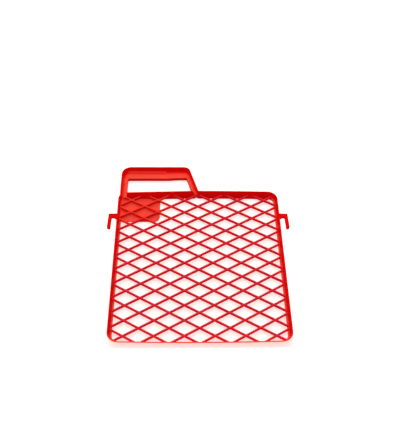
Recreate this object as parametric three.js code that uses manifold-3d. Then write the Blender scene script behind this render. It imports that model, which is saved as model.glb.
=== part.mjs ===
// Paint roller grid with bucket hooks, moulded in red polypropylene.
// Millimetres, +Z up. The origin is at the middle of the overall box, on the face that the grid lies on.
// +Y points to the handle, and the grid hangs in a bucket with +Y up.

import * as THREE from 'three';
import { mergeVertices } from 'three/addons/utils/BufferGeometryUtils.js';
import Module from 'manifold-3d';

const wasm = await Module();
wasm.setup();

// ---- Driving dimensions -------------------------------------------------------------------------

// Frame, measured outside at the rim.
const frameWidth = 226.5;
const frameLength = 243.3;
const frameHeight = 10;
const rimCornerRadius = 14;
// The front and back rails bow outward at mid width.
const railCrown = 1.25;
const wallThickness = 1.5;
// How far a wall leans outward between its foot and its rim.
const sideFlare = 4.2;
const endFlare = 5.2;

// Handle, measured outside at the rim.
const handleReach = 46.9;
const handleWidth = 98.4;
const handleInset = 1.9;
const handleLeftCornerRadius = 14;
const handleRightCornerRadius = 10;
const handleSlant = THREE.MathUtils.degToRad(16.2);
const gripDepth = 19.4;
const legWidth = 9.5;
const slantLegWidth = 8.4;
const lipThickness = 1.5;
// The rail between the legs runs straight. Its left end stands this far in front of the bowed rim.
const slotRailSetback = 1.5;

// Webs and mesh: all lie flush with each other on top.
const webTop = 5.4;
const webThickness = 1.7;
const cellWidth = 37.6;
const cellLength = 21.7;
const ribWidth = 2;
const ribDepth = 3.7;
// The first crossing lies a little left of mid width, this far in front of the back rim.
const crossingShift = 0.35;
const crossingSetback = 2.4;

// Label plate, measured from the feet of the left and back walls.
const plateWidth = 53.5;
const plateLength = 41.7;
const plateCornerRadius = 8;

// Bucket hooks.
const hookSetback = 39.6;
const hookReach = 11.8;
const hookLength = 26;
const hookArmDepth = 6.3;
const hookLegWidth = 4.9;
const hookGusset = 2.7;
const hookSeatWidth = 3.5;
const hookSplay = THREE.MathUtils.degToRad(2.3);
const hookTipRadius = 3;
const hookFoot = 3;
const hookThickness = 4;

// Clearance between features that meet on a sloped or slanted face.
const seam = 0.3;

// Smoothness of arcs and of the bowed rails.
const stepsPerQuarter = 8;
const crownSteps = 8;

// ---- Places worked out from the dimensions ------------------------------------------------------

const halfWidth = frameWidth / 2;
const overallLength = frameLength + handleReach;
const frontRimY = -overallLength / 2;
const backRimY = frontRimY + frameLength;
const handleRimY = overallLength / 2;
const cornerX = halfWidth - rimCornerRadius;
const frontCornerY = frontRimY + railCrown + rimCornerRadius;
const backCornerY = backRimY - railCrown - rimCornerRadius;

const handleLeftX = -halfWidth + handleInset;
const handleSharpX = handleLeftX + handleWidth;
const handleLeftCornerX = handleLeftX + handleLeftCornerRadius;
const handleLeftCornerY = handleRimY - handleLeftCornerRadius;
const handleRightCornerX = handleSharpX
  - handleRightCornerRadius * (1 - Math.sin(handleSlant)) / Math.cos(handleSlant);
const handleRightCornerY = handleRimY - handleRightCornerRadius;

const slotBackY = handleRimY - gripDepth;
const slotLeftX = handleLeftX + legWidth;

const plateTop = webTop - ribDepth;
const webUnderside = webTop - webThickness;

// X of the slanted rim at a given Y, and of a line parallel to it, further in.
const slantX = (y, inward = 0) =>
  handleSharpX + (handleRimY - y) * Math.tan(handleSlant) - inward / Math.cos(handleSlant);

// Y of the bowed rims at a given X.
const crownDrop = (x) => railCrown * (x / cornerX) ** 2;
const backRimAt = (x) => backRimY - crownDrop(x);

// ---- Outlines of the rim ------------------------------------------------------------------------
// An outline runs anticlockwise. Each point holds its place and its outward normal (nx, ny), which
// is lengthened at a mitre, so that an inward offset keeps the walls' thickness.

const point = (x, y, nx, ny) => ({ x, y, nx, ny });

function arc(centreX, centreY, radius, fromAngle, toAngle) {
  const steps = Math.max(2, Math.round(Math.abs(toAngle - fromAngle) / (Math.PI / 2) * stepsPerQuarter));
  const points = [];
  for (let i = 0; i <= steps; i += 1) {
    const angle = fromAngle + (toAngle - fromAngle) * i / steps;
    const nx = Math.cos(angle);
    const ny = Math.sin(angle);
    points.push(point(centreX + radius * nx, centreY + radius * ny, nx, ny));
  }
  return points;
}

function mitre(x, y, angleBefore, angleAfter) {
  const middle = (angleBefore + angleAfter) / 2;
  const stretch = 1 / Math.cos((angleAfter - angleBefore) / 2);
  return point(x, y, stretch * Math.cos(middle), stretch * Math.sin(middle));
}

// The bowed rail between two X places, without its end points. Outward is -1 in front and +1 behind.
function bowedRail(fromX, toX, outward) {
  const points = [];
  for (let i = 1; i < crownSteps; i += 1) {
    const x = fromX + (toX - fromX) * i / crownSteps;
    const rimY = outward < 0 ? frontRimY + crownDrop(x) : backRimAt(x);
    points.push(point(x, rimY, 0, outward));
  }
  return points;
}

const quarter = Math.PI / 2;
const frontRight = arc(cornerX, frontCornerY, rimCornerRadius, -quarter, 0);
const backRight = arc(cornerX, backCornerY, rimCornerRadius, 0, quarter);
const frontLeft = arc(-cornerX, frontCornerY, rimCornerRadius, 2 * quarter, 3 * quarter);

// The frame by itself, as a rounded rectangle with bowed ends, apart from the straight rail between
// the handle's legs, which begins at the slanted leg.
const slotRailRightX = slantX(backRimY, slantLegWidth);
const frameOutline = [
  ...bowedRail(-cornerX, cornerX, -1),
  ...frontRight,
  ...backRight,
  ...bowedRail(cornerX, slotRailRightX, 1),
  point(slotRailRightX, backRimAt(slotRailRightX), 0, 1),
  ...arc(-cornerX, backCornerY - slotRailSetback, rimCornerRadius, quarter, 2 * quarter),
  ...frontLeft,
];

// Where the slanted rim meets the bowed back rim, found by a few rounds of substitution.
let slantFootX = slantX(backRimY);
for (let round = 0; round < 6; round += 1) {
  slantFootX = slantX(backRimAt(slantFootX));
}
const slantFootY = backRimAt(slantFootX);

// Where the handle's left rim meets the frame's back left corner.
const shoulderAngle = Math.acos((handleLeftX + cornerX) / rimCornerRadius);
const shoulderY = backCornerY + rimCornerRadius * Math.sin(shoulderAngle);

// The whole part: the frame and the handle in one line.
const perimeterOutline = [
  ...bowedRail(-cornerX, cornerX, -1),
  ...frontRight,
  ...backRight,
  ...bowedRail(cornerX, slantFootX, 1),
  mitre(slantFootX, slantFootY, quarter, handleSlant),
  ...arc(handleRightCornerX, handleRightCornerY, handleRightCornerRadius, handleSlant, quarter),
  ...arc(handleLeftCornerX, handleLeftCornerY, handleLeftCornerRadius, quarter, 2 * quarter),
  mitre(handleLeftX, shoulderY, 2 * quarter, shoulderAngle),
  ...arc(-cornerX, backCornerY, rimCornerRadius, shoulderAngle, 2 * quarter).slice(1),
  ...frontLeft,
];

// The lean of the wall at an outline point: the side value, the end value, or between them.
function flareAt({ nx, ny }) {
  return (sideFlare * nx * nx + endFlare * ny * ny) / (nx * nx + ny * ny);
}

// ---- Solids -------------------------------------------------------------------------------------

function toGeometry(positions, indices) {
  const geometry = new THREE.BufferGeometry();
  geometry.setAttribute('position', new THREE.Float32BufferAttribute(positions, 3));
  geometry.setIndex(indices);
  return geometry;
}

function toSolid(geometry) {
  const bare = geometry.clone();
  bare.deleteAttribute('normal');
  bare.deleteAttribute('uv');
  const merged = mergeVertices(bare, 1e-5);
  return new wasm.Manifold(new wasm.Mesh({
    numProp: 3,
    vertProperties: new Float32Array(merged.attributes.position.array),
    triVerts: new Uint32Array(merged.index.array),
  }));
}

// An outline point at height z, moved inward from the wall's outer face.
function offsetPoint(outlinePoint, z, inward) {
  const reach = flareAt(outlinePoint) * (1 - z / frameHeight) + inward;
  return [outlinePoint.x - outlinePoint.nx * reach, outlinePoint.y - outlinePoint.ny * reach, z];
}

// The flared wall that stands all along an outline.
function wallRing(outline) {
  const positions = [];
  const indices = [];
  const section = [[0, 0], [frameHeight, 0], [frameHeight, wallThickness], [0, wallThickness]];
  const count = section.length;
  outline.forEach((outlinePoint, i) => {
    section.forEach(([z, inward]) => positions.push(...offsetPoint(outlinePoint, z, inward)));
    const here = i * count;
    const next = ((i + 1) % outline.length) * count;
    for (let k = 0; k < count; k += 1) {
      const l = (k + 1) % count;
      indices.push(here + k, next + k, next + l);
      indices.push(here + k, next + l, here + l);
    }
  });
  return toSolid(toGeometry(positions, indices));
}

// The block bounded by an outline's flared face, moved inward. It stands past the foot and the rim.
const blockMargin = 1;

function outlineBlock(outline, inward) {
  const levels = [-blockMargin, 0, frameHeight, frameHeight + blockMargin];
  const positions = levels.flatMap((z) => outline.flatMap((p) => offsetPoint(p, z, inward)));
  const flat = outline.map((p) => new THREE.Vector2(p.x, p.y));
  const caps = THREE.ShapeUtils.triangulateShape(flat, []);
  const count = outline.length;
  const top = (levels.length - 1) * count;
  const indices = [];
  caps.forEach(([a, b, c]) => {
    indices.push(a, c, b);
    indices.push(top + a, top + b, top + c);
  });
  for (let level = 0; level < top; level += count) {
    for (let i = 0; i < count; i += 1) {
      const j = (i + 1) % count;
      indices.push(level + i, level + j, level + count + j);
      indices.push(level + i, level + count + j, level + count + i);
    }
  }
  return toSolid(toGeometry(positions, indices));
}

// A box between limits. A limit left out reaches well past the part.
const beyond = 500;

function box({ x = [-beyond, beyond], y = [-beyond, beyond], z = [-beyond, beyond] }) {
  const geometry = new THREE.BoxGeometry(x[1] - x[0], y[1] - y[0], z[1] - z[0]);
  geometry.translate((x[0] + x[1]) / 2, (y[0] + y[1]) / 2, (z[0] + z[1]) / 2);
  return toSolid(geometry);
}

function prism(shape, foot, height) {
  const geometry = new THREE.ExtrudeGeometry(shape, {
    depth: height,
    bevelEnabled: false,
    curveSegments: stepsPerQuarter,
  });
  geometry.translate(0, 0, foot);
  return toSolid(geometry);
}

function polygonShape(corners) {
  return new THREE.Shape(corners.map(([x, y]) => new THREE.Vector2(x, y)));
}

// ---- The group of named pieces ------------------------------------------------------------------

const grid = new THREE.Group();

function addPiece(name, solid) {
  const { numProp, vertProperties, triVerts } = solid.getMesh();
  const positions = [];
  for (let i = 0; i < vertProperties.length; i += numProp) {
    positions.push(vertProperties[i], vertProperties[i + 1], vertProperties[i + 2]);
  }
  const geometry = toGeometry(positions, Array.from(triVerts));
  geometry.computeVertexNormals();
  const redPolypropylene = new THREE.MeshStandardMaterial({
    color: '#d8100c',
    roughness: 0.45,
    metalness: 0,
  });
  const mesh = new THREE.Mesh(geometry, redPolypropylene);
  mesh.name = name;
  grid.add(mesh);
}

// ---- Walls of the frame and of the handle -------------------------------------------------------

const perimeterWall = wallRing(perimeterOutline);
const frameWall = wallRing(frameOutline);

// The handle's walls begin just past the back rim, and the left one above the shoulder.
const handleFootY = backRimY + seam;
const shoulderTopY = shoulderY + seam;
const slantTopY = handleRightCornerY + handleRightCornerRadius * Math.sin(handleSlant);

const wallPieces = {
  front_rail: { x: [-cornerX, cornerX], y: [-beyond, 0] },
  front_left_corner: { x: [-beyond, -cornerX], y: [-beyond, frontCornerY] },
  front_right_corner: { x: [cornerX, beyond], y: [-beyond, frontCornerY] },
  left_rail: { x: [-beyond, 0], y: [frontCornerY, backCornerY] },
  right_rail: { x: [0, beyond], y: [frontCornerY, backCornerY] },
  back_left_shoulder: { x: [-beyond, -cornerX], y: [backCornerY, shoulderTopY] },
  back_right_corner: { x: [cornerX, beyond], y: [backCornerY, beyond] },
  back_rail: { x: [-cornerX + legWidth, cornerX], y: [backCornerY - rimCornerRadius, handleFootY] },
  handle_left_wall: { x: [-beyond, handleLeftCornerX], y: [shoulderTopY, handleLeftCornerY] },
  handle_left_corner: { x: [-beyond, handleLeftCornerX], y: [handleLeftCornerY, beyond] },
  handle_back_wall: { x: [handleLeftCornerX, handleRightCornerX], y: [handleLeftCornerY, beyond] },
  handle_right_corner: { x: [handleRightCornerX, beyond], y: [slantTopY, beyond] },
  handle_slant_wall: { x: [handleRightCornerX, cornerX], y: [handleFootY, slantTopY] },
};

for (const [name, limits] of Object.entries(wallPieces)) {
  addPiece(name, perimeterWall.intersect(box(limits)));
}

// ---- Finger slot --------------------------------------------------------------------------------
// The slot is a trapezoid: its right side runs parallel to the slanted wall.

const slotRightAt = (y, inward = 0) => slantX(y, slantLegWidth - inward);

// Everything to the right of the slot's slanted side, moved right by a clearance.
function rightOfSlot(clearance) {
  const top = handleRimY + beyond;
  const bottom = -beyond;
  return prism(polygonShape([
    [slotRightAt(bottom, clearance), bottom],
    [beyond, bottom],
    [beyond, top],
    [slotRightAt(top, clearance), top],
  ]), -beyond, 2 * beyond);
}

addPiece('slot_rail', frameWall
  .intersect(box({ x: [slotLeftX, slantFootX], y: [backCornerY, beyond] }))
  .subtract(rightOfSlot(-seam)));

// ---- Floor of the handle ------------------------------------------------------------------------

const perimeterInside = outlineBlock(perimeterOutline, wallThickness + seam);
const meshRegion = outlineBlock(frameOutline, wallThickness);
const webLevel = [webUnderside, webTop];

addPiece('grip_web', perimeterInside.intersect(box({ y: [slotBackY, beyond], z: webLevel })));

const legsRegion = perimeterInside
  .intersect(box({ y: [backCornerY, slotBackY], z: webLevel }))
  .subtract(meshRegion);

addPiece('left_leg_web', legsRegion.intersect(box({ x: [-beyond, slotLeftX] })));
addPiece('right_leg_web', legsRegion
  .intersect(box({ x: [-beyond, slantFootX] }))
  .intersect(rightOfSlot(0)));

// ---- Lips turned down round the slot ------------------------------------------------------------

const lipLevel = [0, webUnderside];
const lipRightX = slotRightAt(slotBackY, lipThickness);

addPiece('slot_back_lip', box({
  x: [slotLeftX - lipThickness, lipRightX],
  y: [slotBackY, slotBackY + lipThickness],
  z: lipLevel,
}));
addPiece('slot_left_lip', box({
  x: [slotLeftX - lipThickness, slotLeftX],
  y: [backCornerY, slotBackY],
  z: lipLevel,
}).subtract(meshRegion));
addPiece('slot_right_lip', box({ x: [-beyond, slantFootX], y: [backCornerY, slotBackY], z: lipLevel })
  .intersect(rightOfSlot(0))
  .subtract(rightOfSlot(lipThickness))
  .subtract(meshRegion)
  .intersect(perimeterInside));

// ---- Diamond mesh -------------------------------------------------------------------------------
// Two sets of parallel ribs cross in one plane, and the pattern is counted from the first crossing.

const ribAngle = Math.atan2(cellLength, cellWidth);
const ribPitch = cellWidth * Math.sin(ribAngle);
const ribLength = 2 * Math.hypot(frameWidth, frameLength);
const ribCount = Math.ceil(ribLength / 2 / ribPitch);

function ribSet(angle) {
  const bars = [];
  for (let i = -ribCount; i <= ribCount; i += 1) {
    const bar = new THREE.BoxGeometry(ribLength, ribWidth, ribDepth);
    bar.translate(0, i * ribPitch, webTop - ribDepth / 2);
    bar.rotateZ(angle);
    bar.translate(-crossingShift, backRimY - crossingSetback, 0);
    bars.push(toSolid(bar));
  }
  return wasm.Manifold.union(bars);
}

const insideFrame = outlineBlock(frameOutline, wallThickness + seam);
addPiece('diamond_mesh', ribSet(ribAngle).add(ribSet(-ribAngle)).intersect(insideFrame));

// ---- Label plate --------------------------------------------------------------------------------

const plateRightX = -halfWidth + sideFlare + wallThickness + plateWidth;
const plateFrontY = backRimY - railCrown - endFlare - wallThickness - plateLength;

const plateShape = new THREE.Shape();
plateShape.moveTo(-halfWidth, plateFrontY);
plateShape.lineTo(plateRightX - plateCornerRadius, plateFrontY);
plateShape.absarc(
  plateRightX - plateCornerRadius,
  plateFrontY + plateCornerRadius,
  plateCornerRadius,
  -quarter,
  0,
  false,
);
plateShape.lineTo(plateRightX, backRimY);
plateShape.lineTo(-halfWidth, backRimY);
addPiece('label_plate', prism(plateShape, 0, plateTop).intersect(insideFrame));

// ---- Bucket hooks -------------------------------------------------------------------------------
// A hook is an arm that stands out from a side rail and a leg that runs forward from the arm's end.
// Beside the leg the arm has a flat seat for the bucket's rim, and a gusset from there to the rail.
// X is worked out for the right side, and side = -1 mirrors it.

const hookBackY = backRimY - hookSetback;
const hookFrontY = hookBackY - hookLength;
const hookArmFrontY = hookBackY - hookArmDepth;
const legOuterX = halfWidth + hookReach;
const legInnerX = legOuterX - hookLegWidth;
const splayed = (x, y) => x + (hookBackY - y) * Math.tan(hookSplay);
const elbowX = splayed(legInnerX, hookArmFrontY);

const outsideFrame = outlineBlock(perimeterOutline, -seam);

for (const [sideName, side] of [['left', -1], ['right', 1]]) {
  const armShape = polygonShape([
    [side * cornerX, hookArmFrontY - hookGusset],
    [side * halfWidth, hookArmFrontY - hookGusset],
    [side * (elbowX - hookSeatWidth), hookArmFrontY],
    [side * elbowX, hookArmFrontY],
    [side * elbowX, hookBackY],
    [side * cornerX, hookBackY],
  ]);
  addPiece(`${sideName}_hook_arm`, prism(armShape, hookFoot, hookThickness).subtract(outsideFrame));

  // The leg's end is rounded on the outer side and square on the inner side.
  const tipX = splayed(legOuterX, hookFrontY + hookTipRadius);
  const legShape = new THREE.Shape();
  legShape.moveTo(side * elbowX, hookBackY);
  legShape.lineTo(side * elbowX, hookArmFrontY);
  legShape.lineTo(side * splayed(legInnerX, hookFrontY), hookFrontY);
  legShape.lineTo(side * (tipX - hookTipRadius), hookFrontY);
  legShape.quadraticCurveTo(side * tipX, hookFrontY, side * tipX, hookFrontY + hookTipRadius);
  legShape.lineTo(side * legOuterX, hookBackY);
  addPiece(`${sideName}_hook_leg`, prism(legShape, hookFoot, hookThickness));
}

export default grid;
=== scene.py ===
"""A paint roller grid, moulded in one shot in red polypropylene, lying on a pale floor.

Every length is in metres. +Z is up, +Y points to the handle, and the origin is at the middle of the
grid's box, on the floor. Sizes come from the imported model's nodes or are named where they are used.
"""

import math

import bmesh
import bpy
import numpy as np
from mathutils import Matrix, Vector


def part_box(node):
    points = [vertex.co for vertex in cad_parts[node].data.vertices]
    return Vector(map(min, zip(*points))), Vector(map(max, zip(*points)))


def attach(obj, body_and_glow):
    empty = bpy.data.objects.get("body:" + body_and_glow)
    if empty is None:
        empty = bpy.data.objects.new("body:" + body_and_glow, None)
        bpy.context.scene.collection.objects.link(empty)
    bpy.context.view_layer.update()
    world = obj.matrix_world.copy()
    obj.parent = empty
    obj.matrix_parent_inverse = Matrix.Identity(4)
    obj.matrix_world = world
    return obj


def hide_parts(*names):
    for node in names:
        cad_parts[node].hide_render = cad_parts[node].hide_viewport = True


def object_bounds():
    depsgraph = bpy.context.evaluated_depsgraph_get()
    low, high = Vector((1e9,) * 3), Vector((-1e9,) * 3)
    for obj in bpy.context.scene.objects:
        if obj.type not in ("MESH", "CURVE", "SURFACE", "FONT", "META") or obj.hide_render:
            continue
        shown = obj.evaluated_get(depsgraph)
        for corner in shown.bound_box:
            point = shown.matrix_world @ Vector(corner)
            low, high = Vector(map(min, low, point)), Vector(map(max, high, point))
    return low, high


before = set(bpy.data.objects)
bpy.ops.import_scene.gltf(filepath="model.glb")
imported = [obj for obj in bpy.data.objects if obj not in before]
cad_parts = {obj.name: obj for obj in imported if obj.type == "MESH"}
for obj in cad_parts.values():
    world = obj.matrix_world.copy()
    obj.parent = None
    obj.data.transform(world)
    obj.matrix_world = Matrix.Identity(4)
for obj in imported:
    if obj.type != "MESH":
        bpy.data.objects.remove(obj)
cad_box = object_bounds()

# ---- Wall of the frame and the handle -----------------------------------------------------------
# One wall stands all round the grid and its handle, so that it can be laid in a tray. It leans
# outward to its rim, which lets it leave the mould, and its edges are broken by the mould's radii.

mm = 0.001
quarter = math.pi / 2

rim_height = cad_box[1].z
front_rim_y = cad_box[0].y
handle_rim_y = cad_box[1].y
half_width = -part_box("left_rail")[0].x
corner_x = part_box("front_rail")[1].x
front_corner_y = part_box("left_rail")[0].y
back_corner_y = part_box("left_rail")[1].y
corner_radius = half_width - corner_x
rail_crown = front_corner_y - corner_radius - front_rim_y
back_rim_y = back_corner_y + corner_radius + rail_crown

wall_thickness = 1.5 * mm
side_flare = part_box("left_rail")[1].x + half_width - wall_thickness
end_flare = handle_rim_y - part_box("handle_back_wall")[0].y - wall_thickness

handle_slant = math.radians(16.2)
handle_left_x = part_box("handle_left_wall")[0].x
left_corner_x, right_corner_x = (end.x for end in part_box("handle_back_wall"))
left_corner_radius = left_corner_x - handle_left_x
slant_top_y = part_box("handle_slant_wall")[1].y
right_corner_radius = (handle_rim_y - slant_top_y) / (1 - math.sin(handle_slant))
foot_fillet = 1.5 * mm

rim_radius = 0.45 * mm
web_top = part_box("grip_web")[1].z
steps_in_corner = 14
steps_in_rail = 40
steps_in_fillet = 5
steps_in_shoulder = 6


def arc(centre_x, centre_y, radius, start, stop, steps=steps_in_corner):
    """Rows of (x, y, outward x, outward y): the centre plus the radius along each angle's direction."""
    angle = np.linspace(start, stop, steps + 1)
    outward = np.stack([np.cos(angle), np.sin(angle)], axis=1)
    return np.hstack([[centre_x, centre_y] + radius * outward, outward * np.sign(radius)])


def bowed_rim_y(x, outward):
    """The front (-1) or back (+1) rim: its furthest Y at mid width, less a share of the crown that
    grows with the square of x."""
    furthest = front_rim_y if outward < 0 else back_rim_y
    return furthest - outward * rail_crown * (x / corner_x) ** 2


def bowed_rail(start_x, stop_x, outward):
    """Rows of (x, y, outward x, outward y) along a bowed rim, between its two ends."""
    x = np.linspace(start_x, stop_x, steps_in_rail + 1)[1:-1]
    return np.stack([x, bowed_rim_y(x, outward), 0 * x, 0 * x + outward], axis=1)


def slant_x(y, inward=0.0):
    """X of the slanted rim at y, or of a line parallel to it, the given distance further in."""
    corner_reach = right_corner_radius * (1 - math.sin(handle_slant)) / math.cos(handle_slant)
    sharp_x = right_corner_x + corner_reach
    return sharp_x + (handle_rim_y - y) * math.tan(handle_slant) - inward / math.cos(handle_slant)


def move_inward(outline, z, inward):
    """Each outline point moved in by the given distance plus the wall's lean left at height z: the
    flare of a side or an end, mixed by the squares of the outward direction, times 1 - z / height."""
    x, y, nx, ny = np.moveaxis(outline, -1, 0)
    flare = (side_flare * nx**2 + end_flare * ny**2) / (nx**2 + ny**2)
    reach = flare * (1 - z / rim_height) + inward
    return np.stack([x - nx * reach, y - ny * reach, z + 0 * reach], axis=-1)


def rounded(corners, reach, steps=4):
    """A closed loop whose corners become parabolas, from reach before each corner to reach after."""
    corners = np.asarray(corners, float)
    before = np.roll(corners, 1, axis=0) - corners
    after = np.roll(corners, -1, axis=0) - corners
    reach = np.broadcast_to(reach, len(corners))[:, None]
    start = corners + before / np.linalg.norm(before, axis=1, keepdims=True) * reach
    stop = corners + after / np.linalg.norm(after, axis=1, keepdims=True) * reach
    t = np.linspace(0, 1, steps + 1)[:, None]
    curves = (1 - t) ** 2 * start[:, None] + 2 * t * (1 - t) * corners[:, None] + t**2 * stop[:, None]
    return curves.reshape(-1, 2)


def skin(name, grids, closed_along):
    """One mesh object from grids of points [along, across, xyz]: a quad between each four neighbours.
    Across always closes on itself. Along does too, or the grid's two end loops become faces."""
    points, faces, first = [], [], 0
    for grid in grids:
        rows, columns = grid.shape[:2]
        row = np.arange(rows if closed_along else rows - 1)[:, None]
        column = np.arange(columns)[None, :]
        next_row, next_column = (row + 1) % rows, (column + 1) % columns
        corner = [(row, column), (next_row, column), (next_row, next_column), (row, next_column)]
        quads = np.stack([first + r * columns + c + 0 * (row + column) for r, c in corner], axis=-1)
        faces += quads.reshape(-1, 4).tolist()
        if not closed_along:
            faces.append((first + np.arange(columns)).tolist())
            faces.append((first + (rows - 1) * columns + np.arange(columns)[::-1]).tolist())
        points.append(grid.reshape(-1, 3))
        first += rows * columns
    mesh = bpy.data.meshes.new(name)
    mesh.from_pydata(np.concatenate(points).tolist(), [], faces)
    piece = bpy.data.objects.new(name, mesh)
    bpy.context.collection.objects.link(piece)
    turn_outward(mesh)
    return piece


def turn_outward(mesh):
    """Turns every face of a closed mesh to look out."""
    work = bmesh.new()
    work.from_mesh(mesh)
    bmesh.ops.recalc_face_normals(work, faces=work.faces)
    work.to_mesh(mesh)
    work.free()


def smooth(piece, sharp_angle=40):
    """Smooth shading that keeps large faces flat and edges past the angle sharp."""
    piece.data.shade_smooth()
    piece.data.set_sharp_from_angle(angle=math.radians(sharp_angle))
    weighting = piece.modifiers.new("flat_faces", "WEIGHTED_NORMAL")
    weighting.keep_sharp = True


def add_node(tree, kind, inputs=None, **settings):
    """Adds a shader node. An input is another node's output, to be linked, or a plain value."""
    made = tree.nodes.new(kind)
    for setting, value in settings.items():
        setattr(made, setting, value)
    for socket, value in (inputs or {}).items():
        if isinstance(value, bpy.types.NodeSocket):
            tree.links.new(value, made.inputs[socket])
        else:
            made.inputs[socket].default_value = value
    return made


def linear(hex_colour):
    """An sRGB hex colour as linear RGBA: (c / 12.92) below 0.04045, else ((c + 0.055) / 1.055)^2.4."""
    srgb = np.array([int(hex_colour[i:i + 2], 16) / 255 for i in (0, 2, 4)])
    value = np.where(srgb <= 0.04045, srgb / 12.92, ((srgb + 0.055) / 1.055) ** 2.4)
    return (*value.tolist(), 1.0)


def red_polypropylene(name, glow_colour):
    """Injection-moulded polypropylene: a waxy satin skin over a faintly translucent body. Where the
    glow attribute nears 1, the red is painted lighter and clearer: painted light, standing for light
    that comes up through the wall from the floor and for the lit tops of ribs. Where lit_through
    nears 1, an emission paints a glow, standing for the lamp shining through from behind. The melt's
    flow leaves faint clouds of colour, handling leaves patches of more and less gloss, and the
    spark-eroded mould leaves a grain of about 0.05 mm, drawn here 0.9 mm coarse so that it shows."""
    cloud_size = 22 * mm
    cloud_darkest, cloud_lightest = 0.94, 1.06
    rub_size = 6 * mm
    glossiest, dullest = 0.36, 0.52
    grain_size = 0.9 * mm
    grain_depth = 0.1 * mm
    light_through = 0.3
    material = bpy.data.materials.new(name)
    material.use_nodes = True
    tree = material.node_tree
    tree.nodes.clear()
    place = add_node(tree, "ShaderNodeTexCoord").outputs["Object"]
    glow_share = add_node(tree, "ShaderNodeAttribute", attribute_name="painted_glow").outputs["Fac"]
    lit = add_node(tree, "ShaderNodeAttribute", attribute_name="lit_through").outputs["Fac"]
    # The emission is painted light: a glow for the lamp shining through the wall from behind.
    through = add_node(tree, "ShaderNodeMath", {0: lit, 1: light_through}, operation="MULTIPLY")
    # The painted glow: the red mixed towards a lighter colour where light would come through.
    body_and_glow = add_node(tree, "ShaderNodeMix", {
        "Factor": glow_share,
        "A": linear("E80000"),
        "B": linear(glow_colour),
    }, data_type="RGBA")
    cloud = add_node(tree, "ShaderNodeTexNoise", {
        "Vector": place,
        "Scale": 1 / cloud_size,
        "Detail": 3.0,
    })
    shade = add_node(tree, "ShaderNodeMapRange", {
        "Value": cloud.outputs["Fac"],
        "To Min": cloud_darkest,
        "To Max": cloud_lightest,
    })
    colour = add_node(tree, "ShaderNodeVectorMath", {
        0: body_and_glow.outputs["Result"],
        "Scale": shade.outputs["Result"],
    }, operation="SCALE")
    rub = add_node(tree, "ShaderNodeTexNoise", {
        "Vector": place,
        "Scale": 1 / rub_size,
        "Detail": 5.0,
    })
    satin = add_node(tree, "ShaderNodeMapRange", {
        "Value": rub.outputs["Fac"],
        "To Min": glossiest,
        "To Max": dullest,
    })
    grain = add_node(tree, "ShaderNodeTexNoise", {
        "Vector": place,
        "Scale": 1 / grain_size,
        "Detail": 2.0,
    })
    bump = add_node(tree, "ShaderNodeBump", {
        "Height": grain.outputs["Fac"],
        "Strength": 0.12,
        "Distance": grain_depth,
    })
    shader = add_node(tree, "ShaderNodeBsdfPrincipled", {
        "Base Color": colour.outputs["Vector"],
        "Roughness": satin.outputs["Result"],
        "Normal": bump.outputs["Normal"],
        "IOR": 1.49,
        "Specular IOR Level": 0.05,
        "Subsurface Weight": 0.25,
        "Subsurface Radius": (1.0, 0.12, 0.08),
        "Subsurface Scale": 1.5 * mm,
        "Emission Color": linear("FF7A5C"),
        "Emission Strength": through.outputs["Value"],
    })
    add_node(tree, "ShaderNodeOutputMaterial", {"Surface": shader.outputs["BSDF"]})
    return material


def mark_painted_glow(piece, glow_share, attribute_name="painted_glow"):
    """Stores a value from 0 to 1 at each vertex: how much painted glow it gets, as a lighter red or as
    an emission.
    """
    attribute = piece.data.attributes.new(attribute_name, "FLOAT", "POINT")
    attribute.data.foreach_set("value", np.asarray(glow_share, float).ravel())


def vertices(piece):
    """A piece's vertices as rows of x, y, z."""
    points = np.empty(len(piece.data.vertices) * 3)
    piece.data.vertices.foreach_get("co", points)
    return points.reshape(-1, 3)


polypropylene = red_polypropylene("red_polypropylene", "FC4A3A")

# The foot of the slanted rim is rounded into the back rail: the fillet's centre lies one radius
# outside both. The bowed rail's Y depends on that centre's X, and a few rounds settle the two.
rounds_to_settle = 6
slant_foot_x = slant_x(back_rim_y)
for _ in range(rounds_to_settle):
    fillet_y = bowed_rim_y(slant_foot_x, 1) + foot_fillet
    slant_foot_x = slant_x(fillet_y, -foot_fillet)

# The handle's left rim meets the frame's corner at this angle. The join's outward direction is
# lengthened so that the wall keeps its thickness round it.
shoulder_angle = math.acos((handle_left_x + corner_x) / corner_radius)
shoulder_y = back_corner_y + corner_radius * math.sin(shoulder_angle)
join_angle = (2 * quarter + shoulder_angle) / 2
join_reach = 1 / math.cos((2 * quarter - shoulder_angle) / 2)
shoulder_join = np.array([[
    handle_left_x,
    shoulder_y,
    join_reach * math.cos(join_angle),
    join_reach * math.sin(join_angle),
]])

front_right = arc(corner_x, front_corner_y, corner_radius, -quarter, 0)
back_right = arc(corner_x, back_corner_y, corner_radius, 0, quarter)
shoulder = arc(
    -corner_x, back_corner_y, corner_radius, shoulder_angle, 2 * quarter, steps_in_shoulder)
front_left = arc(-corner_x, front_corner_y, corner_radius, 2 * quarter, 3 * quarter)
slant_foot = arc(slant_foot_x, fillet_y, -foot_fillet, quarter, handle_slant, steps_in_fillet)
slant_foot[:, 2:] *= -1
handle_right = arc(
    right_corner_x, handle_rim_y - right_corner_radius, right_corner_radius, handle_slant, quarter)
handle_left = arc(
    left_corner_x, handle_rim_y - left_corner_radius, left_corner_radius, quarter, 2 * quarter)

perimeter = np.concatenate([
    bowed_rail(-corner_x, corner_x, -1),
    front_right,
    back_right,
    bowed_rail(corner_x, slant_foot_x, 1),
    slant_foot,
    handle_right,
    handle_left,
    shoulder_join,
    shoulder[1:],
    front_left,
])

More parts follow.
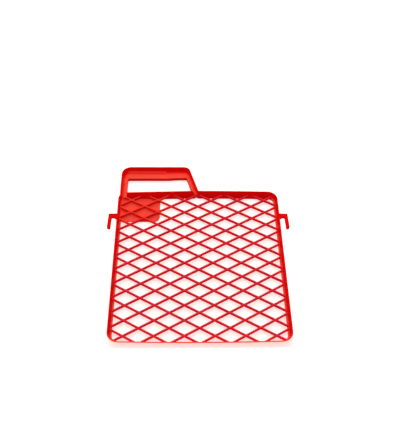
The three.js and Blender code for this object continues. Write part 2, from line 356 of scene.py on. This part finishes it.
# Each row: how far the point lies inward of the outer face, and its height. The inner face has a
# point at the top of the floor and the mesh, where the look of the thin foot begins.
wall_section = rounded([
    (0, 0),
    (0, rim_height),
    (wall_thickness, rim_height),
    (wall_thickness, web_top),
    (wall_thickness, 0),
], [rim_radius, rim_radius, rim_radius, rim_radius / 2, rim_radius])
wall_grid = np.stack([move_inward(perimeter, z, inward) for inward, z in wall_section], axis=1)
outer_wall = skin("outer_wall", [wall_grid], closed_along=True)
smooth(outer_wall)

# The side walls' feet, which stand on the bright floor, get a painted glow, fully from a sixth of
# the mesh's height down, and so does the whole front wall, which has the lamp behind it: a lighter
# red and an emission that stand for light coming through the wall.
foot_glow = 0.95
foot_fade = 1.2
front_glow = 0.6
front_light = 0.5
side_facing = perimeter[:, 2, None] ** 2
below_mesh = np.clip(foot_fade * (1 - wall_section[:, 1] / web_top), 0, 1)
front_facing = np.clip(-perimeter[:, 3, None], 0, 1) ** 2
at_foot = foot_glow * side_facing * below_mesh
mark_painted_glow(outer_wall, np.maximum(at_foot, front_glow * front_facing))
mark_painted_glow(outer_wall, np.maximum(at_foot, front_light * front_facing), "lit_through")
outer_wall.data.materials.append(polypropylene)
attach(outer_wall, "root")
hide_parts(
    "front_rail", "front_left_corner", "front_right_corner", "left_rail", "right_rail",
    "back_left_shoulder", "back_right_corner", "back_rail", "handle_left_wall",
    "handle_left_corner", "handle_back_wall", "handle_right_corner", "handle_slant_wall",
)

# ---- Rail between the handle's legs --------------------------------------------------------------
# The back wall runs straight between the legs of the handle and closes the finger slot in front.
# Its right end leans with the slanted leg as it goes down to the floor of the handle.

slot_left_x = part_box("slot_left_lip")[1].x
slant_leg_width = 8.4 * mm
rail_setback = 1.5 * mm
rail_end_lean = 0.95
rail_end_limit = -3.6 * mm

rail_end_x = slant_x(back_rim_y, slant_leg_width)
rail_left_y = bowed_rim_y(-corner_x, 1) - rail_setback
rail_slope = (bowed_rim_y(rail_end_x, 1) - rail_left_y) / (rail_end_x + corner_x)

frame_outline = np.concatenate([
    bowed_rail(-corner_x, corner_x, -1),
    front_right,
    back_right,
    bowed_rail(corner_x, rail_end_x, 1),
    [[rail_end_x, bowed_rim_y(rail_end_x, 1), 0, 1]],
    arc(-corner_x, rail_left_y - corner_radius, corner_radius, quarter, 2 * quarter),
    front_left,
])


def rail_rim_y(x):
    """The rim between the legs: a straight line up to the slanted leg, and the bowed rim past it."""
    return np.minimum(rail_left_y + rail_slope * (x + corner_x), bowed_rim_y(x, 1))


def legs_rail_loop(share):
    """The wall's section at a share of the way from the left end to the right end, where each
    height's end lies further right by the lean times its depth below the rim."""
    inward, z = wall_section[:, 0], wall_section[:, 1]
    right_end = np.minimum(rail_end_x + rail_end_lean * (rim_height - z), rail_end_limit)
    x = slot_left_x + share * (right_end - slot_left_x)
    rim = np.stack([x, rail_rim_y(x), 0 * x, 0 * x + 1], axis=1)
    return np.stack([move_inward(point, level, depth) for point, level, depth in zip(rim, z, inward)])


legs_rail = skin(
    "rail_between_legs",
    [np.stack([legs_rail_loop(share) for share in np.linspace(0, 1, steps_in_rail)])],
    closed_along=False,
)
smooth(legs_rail)
legs_rail.data.materials.append(polypropylene)
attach(legs_rail, "root")
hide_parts("slot_rail")

# ---- Floor of the handle, with its lips ---------------------------------------------------------
# The floor is a thin web round three sides of the finger slot. At the slot it rolls over into a lip
# turned down to the ground, which is what the fingers pull on.

web_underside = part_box("grip_web")[0].z
slot_back_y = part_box("slot_back_lip")[0].y
lip_thickness = 1.5 * mm
slot_corner = 2.5 * mm
lip_edge = 0.5 * mm
lip_foot = 0.4 * mm
under_fillet = 0.4 * mm
wall_fillet = 2.0 * mm
slot_rise = 1.3 * mm
slot_rise_from_x, slot_rise_to_x = -47 * mm, -26 * mm
left_leg_front = 89.5 * mm
steps_in_leg = 14
steps_in_grip = 30
buried = wall_thickness / 2


def straight(start, stop, steps):
    """Points at even steps from start to stop, without the last."""
    t = np.arange(steps)[:, None] / steps
    return np.asarray(start) * (1 - t) + np.asarray(stop) * t


slot_corner_y = slot_back_y - slot_corner
slot_corner_x = slant_x(slot_corner_y, slant_leg_width + slot_corner)
slot_left_arc = arc(slot_left_x + slot_corner, slot_corner_y, slot_corner, 2 * quarter, quarter)
slot_right_arc = arc(slot_corner_x, slot_corner_y, slot_corner, quarter, handle_slant)
mesh_back_y = back_rim_y - end_flare * (1 - web_top / rim_height) - wall_thickness
slot_front_right = (slant_x(mesh_back_y, slant_leg_width), mesh_back_y)
slot_edge = np.concatenate([
    straight((slot_left_x, left_leg_front), slot_left_arc[0, :2], steps_in_leg),
    slot_left_arc[:, :2],
    straight(slot_left_arc[-1, :2], slot_right_arc[0, :2], steps_in_grip)[1:],
    slot_right_arc[:, :2],
    straight(slot_front_right, slot_right_arc[-1, :2], steps_in_leg)[::-1],
])

# The slot's back edge is straight at the left and rises smoothly towards its right end.
depth_share = np.clip((slot_edge[:, 1] - mesh_back_y) / (slot_back_y - mesh_back_y), 0, 1)
rise_share = np.clip((slot_edge[:, 0] - slot_rise_from_x) / (slot_rise_to_x - slot_rise_from_x), 0, 1)
slot_edge[:, 1] += slot_rise * depth_share * rise_share**2 * (3 - 2 * rise_share)


def outer_edge(z):
    """The middle of the handle's wall at height z, from the left leg's front round to the right's."""
    left = move_inward(handle_left[::-1], z, buried)[:, :2]
    right = move_inward(handle_right[::-1], z, buried)[:, :2]
    front_x = right[-1, 0] + (right[-1, 1] - mesh_back_y) * math.tan(handle_slant)
    return np.concatenate([
        straight((left[0, 0], left_leg_front), left[0], steps_in_leg),
        left,
        straight(left[-1], right[0], steps_in_grip)[1:],
        right,
        straight((front_x, mesh_back_y), right[-1], steps_in_leg)[::-1],
    ])


def floor_line(from_slot, from_wall, share, z):
    """Points over the slot's edge at height z, between the point from_slot outward of that edge and
    the point from_wall inward of the wall's middle, at a share of the way from one to the other."""
    outward = outer_edge(z) - slot_edge
    length = np.linalg.norm(outward, axis=1, keepdims=True)
    reach = (1 - share) * from_slot + share * (length - from_wall)
    flat = slot_edge + outward / length * reach
    return np.hstack([flat, np.full((len(flat), 1), z)])


# Each row: from_slot, from_wall, share, height, and the painted glow there in the bar and in the
# legs, a lighter red standing for light that comes up through the thin web. It rolls up the wall,
# crosses the top, goes over the lip's edge and down its face, round its foot and back along the
# underside. In the bar the glow fades towards the wall: painted shade where the wall shadows the floor.
roll = np.linspace(0, quarter, 6)
foot = np.linspace(0, quarter, 4)
inner_face = buried + wall_fillet
fillet_glow = 0.6

# Across the top, each row is only the share and the two values of the painted glow.
across_top = ((0.85, 0.1, 0.7), (0.7, 0.5, 0.9), (0.5, 0.9, 1), (0.1, 1, 1))
floor_section = [
    (0, 0, 1, web_top + wall_fillet, 0, 0),
    *[(0, buried + wall_fillet * (1 - math.sin(a)), 1, web_top + wall_fillet * (1 - math.cos(a)),
       0, fillet_glow * math.cos(a)) for a in roll[::-1]],
    *[(lip_edge, inner_face, share, web_top, in_bar, in_leg) for share, in_bar, in_leg in across_top],
    *[(lip_edge * (1 - math.sin(a)), 0, 0, web_top - lip_edge * (1 - math.cos(a)),
       math.cos(a), math.cos(a)) for a in roll],
    *[(lip_foot * (1 - math.cos(a)), 0, 0, lip_foot * (1 - math.sin(a)), 0, 0) for a in foot],
    *[(lip_thickness - lip_foot * (1 - math.sin(a)), 0, 0, lip_foot * (1 - math.cos(a)), 0, 0)
      for a in foot],
    *[(lip_thickness + under_fillet * (1 - math.cos(a)), 0, 0,
       web_underside - under_fillet * (1 - math.sin(a)), 0, 0) for a in foot],
    (lip_thickness, 0, 0.5, web_underside, 1, 1),
    (lip_thickness, 0, 1, web_underside, 1, 1),
]
handle_floor = skin(
    "handle_floor",
    [np.stack([floor_line(*row[:4]) for row in floor_section], axis=1)],
    closed_along=False,
)
smooth(handle_floor)
glow_in_bar, glow_in_leg = np.array([row[4:] for row in floor_section]).T
mark_painted_glow(handle_floor, np.where(slot_edge[:, 1:] < slot_corner_y, glow_in_leg, glow_in_bar))
handle_floor.data.materials.append(polypropylene)
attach(handle_floor, "root")
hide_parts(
    "grip_web", "left_leg_web", "right_leg_web", "slot_back_lip", "slot_left_lip", "slot_right_lip",
)

# ---- Marks on the handle's floor -----------------------------------------------------------------
# Where two blocks of the mould meet, a low step runs along the back wall's foot, and a fine seam
# crosses the right leg. An ejector pin leaves a shallow disc in the left leg.

step_left_x, step_right_x = -101.8 * mm, -46.4 * mm
step_front_y = 135 * mm
step_height = 0.45 * mm
step_corner = 0.8 * mm
step_edge = 0.3 * mm
seam_left_x, seam_right_x = -18.7 * mm, -10.6 * mm
seam_y = 127.4 * mm
seam_width = 0.5 * mm
seam_height = 0.15 * mm
seam_edge = 0.1 * mm
ejector_x, ejector_y = -105.8 * mm, 115.3 * mm
ejector_radius = 1.3 * mm
ejector_height = 0.2 * mm
ejector_edge = 0.15 * mm
sunk = 0.5 * mm
marks_glow = 0.3


def slab(outline, foot, top, edge):
    """The rings of a flat piece [ring, outline point, xyz]: its outline at each height, moved in at
    the edges by edge times 1 - sin(a) as the height goes from the face to edge past it by edge
    times 1 - cos(a)."""
    step = np.roll(outline, -1, axis=0) - np.roll(outline, 1, axis=0)
    outward = np.stack([step[:, 1], -step[:, 0]], axis=1) / np.linalg.norm(step, axis=1, keepdims=True)
    angle = np.linspace(0, quarter, 4)
    inset = edge * (1 - np.sin(angle))
    rise = edge * (1 - np.cos(angle))
    insets = np.concatenate([inset, inset[::-1]])
    heights = np.concatenate([foot + rise, (top - rise)[::-1]])
    rings = [np.hstack([outline - outward * i, np.full((len(outline), 1), z)])
             for i, z in zip(insets, heights)]
    return np.stack(rings)


def rectangle(low_x, low_y, high_x, high_y, radius):
    """A rectangle's outline, anticlockwise, with its corners rounded."""
    return rounded([(low_x, low_y), (high_x, low_y), (high_x, high_y), (low_x, high_y)], radius)


step_back_y = handle_rim_y - end_flare * (1 - web_top / rim_height) - buried
ejector_outline = arc(ejector_x, ejector_y, ejector_radius, 0, 4 * quarter, steps=24)[:-1, :2]
handle_marks = skin("handle_floor_marks", [
    slab(rectangle(step_left_x, step_front_y, step_right_x, step_back_y, step_corner),
         web_top - sunk, web_top + step_height, step_edge),
    slab(rectangle(seam_left_x, seam_y, seam_right_x, seam_y + seam_width, seam_edge),
         web_top - sunk, web_top + seam_height, seam_edge),
    slab(ejector_outline, web_top - sunk, web_top + ejector_height, ejector_edge),
], closed_along=False)
smooth(handle_marks)
# The marks get a little of the painted glow, a lighter red.
mark_painted_glow(handle_marks, np.full(len(handle_marks.data.vertices), marks_glow))
handle_marks.data.materials.append(polypropylene)
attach(handle_marks, "root")

# ---- Diamond mesh --------------------------------------------------------------------------------
# Two sets of parallel ribs cross in one plane, and the roller is squeezed out on their tops. Each
# rib is a little wider at its foot, for the mould, and its top edges are rounded for the roller.

mesh_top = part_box("diamond_mesh")[1].z
mesh_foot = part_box("diamond_mesh")[0].z
cell_width = 37.6 * mm
cell_length = 21.7 * mm
rib_width = 2.0 * mm
rib_draft = 0.15 * mm
rib_edge = 0.4 * mm
flush_gap = 0.02 * mm
crossing_shift = 0.35 * mm
crossing_setback = 2.4 * mm

rib_angle = math.atan2(cell_length, cell_width)
rib_pitch = cell_width * math.sin(rib_angle)
rib_section = rounded([
    (-(rib_width - rib_draft) / 2, mesh_top - flush_gap),
    ((rib_width - rib_draft) / 2, mesh_top - flush_gap),
    ((rib_width + rib_draft) / 2, mesh_foot),
    (-(rib_width + rib_draft) / 2, mesh_foot),
], rib_edge, steps=3)


def cross(a, b):
    """The Z part of the cross product of two flat vectors."""
    return a[..., 0] * b[..., 1] - a[..., 1] * b[..., 0]


def rib_ends(angle, number):
    """Where a rib's section runs into the middle of the wall. Each section point's line, along the
    angle and off to one side by the rib's number times the pitch, is cut with every edge of the
    frame's outline at that point's height, and the first and last cuts are kept. Rib 0 of both
    sets crosses the other just in front of the back rim, near mid width."""
    along = np.array([math.cos(angle), math.sin(angle)])
    aside = np.array([-along[1], along[0]])
    sideways, z = rib_section[:, 0], rib_section[:, 1]
    crossing = np.array([-crossing_shift, back_rim_y - crossing_setback])
    start = crossing + (number * rib_pitch + sideways)[:, None] * aside
    edges = np.stack([move_inward(frame_outline, level, buried)[:, :2] for level in z])
    edge_step = np.roll(edges, -1, axis=1) - edges
    to_edge = edges - start[:, None]
    slope = cross(along, edge_step)
    with np.errstate(divide="ignore", invalid="ignore"):
        travel = cross(to_edge, edge_step) / slope
        share = cross(to_edge, along[None, None]) / slope
    meets = (share >= 0) & (share < 1)
    first = np.where(meets, travel, np.inf).min(axis=1)
    last = np.where(meets, travel, -np.inf).max(axis=1)
    ends = np.stack([first, last])
    flat = start[None] + ends[..., None] * along
    return np.concatenate([flat, np.broadcast_to(z, ends.shape)[..., None]], axis=-1)


def rib_set(name, angle):
    """All the ribs at one angle that reach the wall at both ends."""
    most = math.ceil(math.hypot(half_width, back_rim_y - front_rim_y) / rib_pitch)
    ribs = [rib_ends(angle, number) for number in range(-most, most + 1)]
    return skin(name, [rib for rib in ribs if np.isfinite(rib).all()], closed_along=False)


diamond_mesh = rib_set("diamond_grid", rib_angle)
other_ribs = rib_set("other_ribs", -rib_angle)
union = diamond_mesh.modifiers.new("cross", "BOOLEAN")
union.operation = "UNION"
union.solver = "MANIFOLD"
union.object = other_ribs
shown = diamond_mesh.evaluated_get(bpy.context.evaluated_depsgraph_get())
joined_ribs = bpy.data.meshes.new_from_object(shown)
joined_ribs.materials.clear()
diamond_mesh.modifiers.clear()
diamond_mesh.data = joined_ribs
bpy.data.objects.remove(other_ribs)
smooth(diamond_mesh)

# The ribs' tops are painted lighter than their sides, a painted highlight for light from above and
# from the floor under them. Over the white floor it is stronger and cooler, from a lit copy of the
# material; over the red label plate it is weaker and warmer.
rib_top_glow = 0.8
plate_rib_glow = 0.6
plate_low, plate_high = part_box("label_plate")
rib_points = vertices(diamond_mesh)
over_plate = (rib_points[:, 0] < plate_high.x) & (rib_points[:, 1] > plate_low.y)
glow = np.where(over_plate, plate_rib_glow, rib_top_glow)
mark_painted_glow(diamond_mesh, glow * (rib_points[:, 2] > mesh_top - rib_edge))
diamond_mesh.data.materials.append(red_polypropylene("red_polypropylene_ribs_painted_glow", "EA3046"))
diamond_mesh.data.materials.append(polypropylene)
loop_points = np.empty(len(diamond_mesh.data.loops), dtype=int)
diamond_mesh.data.loops.foreach_get("vertex_index", loop_points)
face_starts = np.empty(len(diamond_mesh.data.polygons), dtype=int)
diamond_mesh.data.polygons.foreach_get("loop_start", face_starts)
face_over_plate = over_plate[loop_points[face_starts]]
diamond_mesh.data.polygons.foreach_set("material_index", face_over_plate.astype(int))
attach(diamond_mesh, "root")
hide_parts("diamond_mesh")

# ---- Label plate ---------------------------------------------------------------------------------
# A bare plate lies under the mesh in the corner by the handle, level with the walls' feet. Its back
# left corner reaches a little way under the handle's left leg. It was moulded with the rest.

plate_radius = 8 * mm
plate_edge = 0.2 * mm
plate_under_leg = 3.5 * mm

under_wall = move_inward(frame_outline, plate_high.z / 2, buried)[:, :2]
along_back = under_wall[(under_wall[:, 1] > plate_low.y) & (under_wall[:, 0] < plate_high.x)]
along_back[:, 1] += plate_under_leg * (along_back[:, 0] < slot_left_x)
plate_corner = arc(plate_high.x - plate_radius, plate_low.y + plate_radius, plate_radius, -quarter, 0)
plate_outline = np.concatenate([
    [(along_back[-1, 0], plate_low.y)],
    plate_corner[:, :2],
    [(plate_high.x, along_back[0, 1])],
    along_back,
])
label_plate = skin(
    "bare_label_plate",
    [slab(plate_outline, plate_low.z, plate_high.z, plate_edge)],
    closed_along=False,
)
smooth(label_plate)

# Only the plate's top gets the painted glow, a lighter red standing for light through it, and its
# rounded edge doesn't.
mark_painted_glow(label_plate, vertices(label_plate)[:, 2] > plate_high.z - plate_edge / 4)
label_plate.data.materials.append(polypropylene)
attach(label_plate, "root")
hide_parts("label_plate")

# ---- Bucket hooks --------------------------------------------------------------------------------
# A hook stands out from each side rail, with a gusset in its corner, a flat seat for the bucket's
# rim and a leg that keeps the grid from sliding off. The leg's end is rounded outside.

hook_splay = math.radians(2.3)
hook_tip_reach = 3 * mm
hook_corner_reach = 0.8 * mm
hook_edge = 0.3 * mm
hook_seat_width = 3.5 * mm
hook_gusset = 2.7 * mm
hook_leg_width = 4.9 * mm

arm_low, arm_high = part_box("right_hook_arm")
leg_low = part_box("right_hook_leg")[0]
elbow_x = leg_low.x
arm_front_y = arm_low.y + hook_gusset
hook_inner_x = elbow_x - (arm_high.y - arm_front_y) * math.tan(hook_splay)


def splayed(x, y):
    """X of a leg's edge at y: it moves out by the tangent of the splay for each length forward."""
    return x + (arm_high.y - y) * math.tan(hook_splay)


hook_outer_x = hook_inner_x + hook_leg_width
hook_corners = [
    (corner_x, arm_low.y),
    (half_width, arm_low.y),
    (elbow_x - hook_seat_width, arm_front_y),
    (elbow_x, arm_front_y),
    (splayed(hook_inner_x, leg_low.y), leg_low.y),
    (splayed(hook_outer_x, leg_low.y), leg_low.y),
    (hook_outer_x, arm_high.y),
    (corner_x, arm_high.y),
]
outer_tip = 5
hook_reaches = np.full(len(hook_corners), hook_corner_reach)
hook_reaches[outer_tip] = hook_tip_reach
hook_outline = rounded(hook_corners, hook_reaches, steps=6)

# The rings of the right hook start at the middle of the side wall, at each height.
hook_rings = slab(hook_outline, arm_low.z, arm_high.z, hook_edge)
wall_middle = half_width - side_flare * (1 - hook_rings[..., 2] / rim_height) - buried
hook_rings[..., 0] = np.maximum(hook_rings[..., 0], wall_middle)

for side, name in ((-1, "left"), (1, "right")):
    hook = skin(f"{name}_bucket_hook", [hook_rings * [side, 1, 1]], closed_along=False)
    smooth(hook)
    hook.data.materials.append(polypropylene)
    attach(hook, "root")
    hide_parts(f"{name}_hook_arm", f"{name}_hook_leg")

# ---- Floor ---------------------------------------------------------------------------------------
# A plain white floor, lit and shown white to the camera by an emission that only camera rays see.
# That emission is painted stronger round the grid, a painted wash of light that hides the grid's
# shadow there; it fades over the last few millimetres before the grid's sides and front, so that the
# cells keep its shadow.

floor_size = 4.0
washed_out_over = 6 * mm
under_grid_lift = 0.5
round_grid_lift = 1.1
floor_white = bpy.data.materials.new("white_floor")
floor_white.use_nodes = True
tree = floor_white.node_tree
tree.nodes.clear()
seen = add_node(tree, "ShaderNodeLightPath").outputs["Is Camera Ray"]
place = add_node(tree, "ShaderNodeTexCoord").outputs["Object"]
across = add_node(tree, "ShaderNodeSeparateXYZ", {"Vector": place}).outputs
sideways = add_node(tree, "ShaderNodeMath", {0: across["X"]}, operation="ABSOLUTE")
past_side = add_node(tree, "ShaderNodeMapRange", {
    "Value": sideways.outputs["Value"],
    "From Min": half_width,
    "From Max": half_width + washed_out_over,
})
past_front = add_node(tree, "ShaderNodeMapRange", {
    "Value": across["Y"],
    "From Min": front_rim_y,
    "From Max": front_rim_y - washed_out_over,
})
past = add_node(tree, "ShaderNodeMath", {
    0: past_side.outputs["Result"],
    1: past_front.outputs["Result"],
}, operation="MAXIMUM")
brightening = add_node(tree, "ShaderNodeMapRange", {
    "Value": past.outputs["Value"],
    "To Min": under_grid_lift,
    "To Max": round_grid_lift,
})
lift = add_node(tree, "ShaderNodeMath", {
    0: seen,
    1: brightening.outputs["Result"],
}, operation="MULTIPLY")
matt = add_node(tree, "ShaderNodeBsdfDiffuse", {"Color": linear("E8E4DA")})
glow = add_node(tree, "ShaderNodeEmission", {"Strength": lift.outputs["Value"]})
both = add_node(tree, "ShaderNodeAddShader", {
    0: matt.outputs["BSDF"],
    1: glow.outputs["Emission"],
})
add_node(tree, "ShaderNodeOutputMaterial", {"Surface": both.outputs["Shader"]})

floor_mesh = bpy.data.meshes.new("floor")
reach = floor_size / 2
floor_mesh.from_pydata(
    [(-reach, -reach, 0), (reach, -reach, 0), (reach, reach, 0), (-reach, reach, 0)],
    [],
    [(0, 1, 2, 3)],
)
floor = bpy.data.objects.new("floor", floor_mesh)
bpy.context.collection.objects.link(floor)
floor_mesh.materials.append(floor_white)

# ---- Light ---------------------------------------------------------------------------------------
# A white studio all round, and one large soft lamp high up behind the grid. The studio shows white
# to the camera and in reflections, and lights the grid less strongly than that.

studio_level = 0.58
lamp_power = 26
lamp_width = 2.2
lamp_distance = 1.8
lamp_azimuth, lamp_elevation = -8, 40

scene = bpy.context.scene
world = bpy.data.worlds.new("white_studio")
scene.world = world
world.use_nodes = True
tree = world.node_tree
tree.nodes.clear()
ray = add_node(tree, "ShaderNodeLightPath").outputs
seen_or_mirrored = add_node(tree, "ShaderNodeMath", {
    0: ray["Is Camera Ray"],
    1: ray["Is Glossy Ray"],
}, operation="MAXIMUM")
shown_white = add_node(tree, "ShaderNodeMath", {
    0: seen_or_mirrored.outputs["Value"],
    1: ray["Is Transmission Ray"],
}, operation="MAXIMUM")
studio = add_node(tree, "ShaderNodeMapRange", {
    "Value": shown_white.outputs["Value"],
    "To Min": studio_level,
    "To Max": 1.0,
})
sky = add_node(tree, "ShaderNodeBackground", {
    "Color": linear("FFFFFF"),
    "Strength": studio.outputs["Result"],
})
add_node(tree, "ShaderNodeOutputWorld", {"Surface": sky.outputs["Background"]})


def spherical(azimuth, elevation):
    """The direction at an azimuth from +Y towards +X, and an elevation above the floor, in degrees."""
    a, e = math.radians(azimuth), math.radians(elevation)
    return np.array([math.sin(a) * math.cos(e), math.cos(a) * math.cos(e), math.sin(e)])


lamp_data = bpy.data.lights.new("soft_lamp", "AREA")
lamp_data.shape = "DISK"
lamp_data.size = lamp_width
lamp_data.energy = lamp_power
lamp = bpy.data.objects.new("soft_lamp", lamp_data)
bpy.context.collection.objects.link(lamp)
from_lamp = -spherical(lamp_azimuth, lamp_elevation)
lamp.location = -from_lamp * lamp_distance
lamp.visible_glossy = False
lamp.rotation_mode = "QUATERNION"
lamp.rotation_quaternion = Vector(from_lamp).to_track_quat("-Z", "Y")

# ---- Camera --------------------------------------------------------------------------------------
# The camera stands in front of the grid, a little to its left, and looks down on it at 51 degrees.
# It is rolled by a degree and a half.

camera_data = bpy.data.cameras.new("camera")
camera_data.sensor_width = 36
camera_data.lens = 52.67
camera = bpy.data.objects.new("camera", camera_data)
bpy.context.collection.objects.link(camera)
aim_point = np.array([2.26, 47.84, 5.4]) * mm
aim_distance = 895 * mm
camera_azimuth, camera_elevation = 180 + 1.958, 50.97
roll_angle = math.radians(1.521)

toward = -spherical(camera_azimuth, camera_elevation)
level_right = np.cross(toward, [0, 0, 1])
level_right /= np.linalg.norm(level_right)
level_up = np.cross(level_right, toward)
right = math.cos(roll_angle) * level_right + math.sin(roll_angle) * level_up
up = math.cos(roll_angle) * level_up - math.sin(roll_angle) * level_right
camera_frame = np.eye(4)
camera_frame[:3] = np.stack([right, up, -toward, aim_point - toward * aim_distance], axis=1)
camera.matrix_world = Matrix(camera_frame.tolist())
scene.camera = camera
scene.view_settings.view_transform = "Standard"
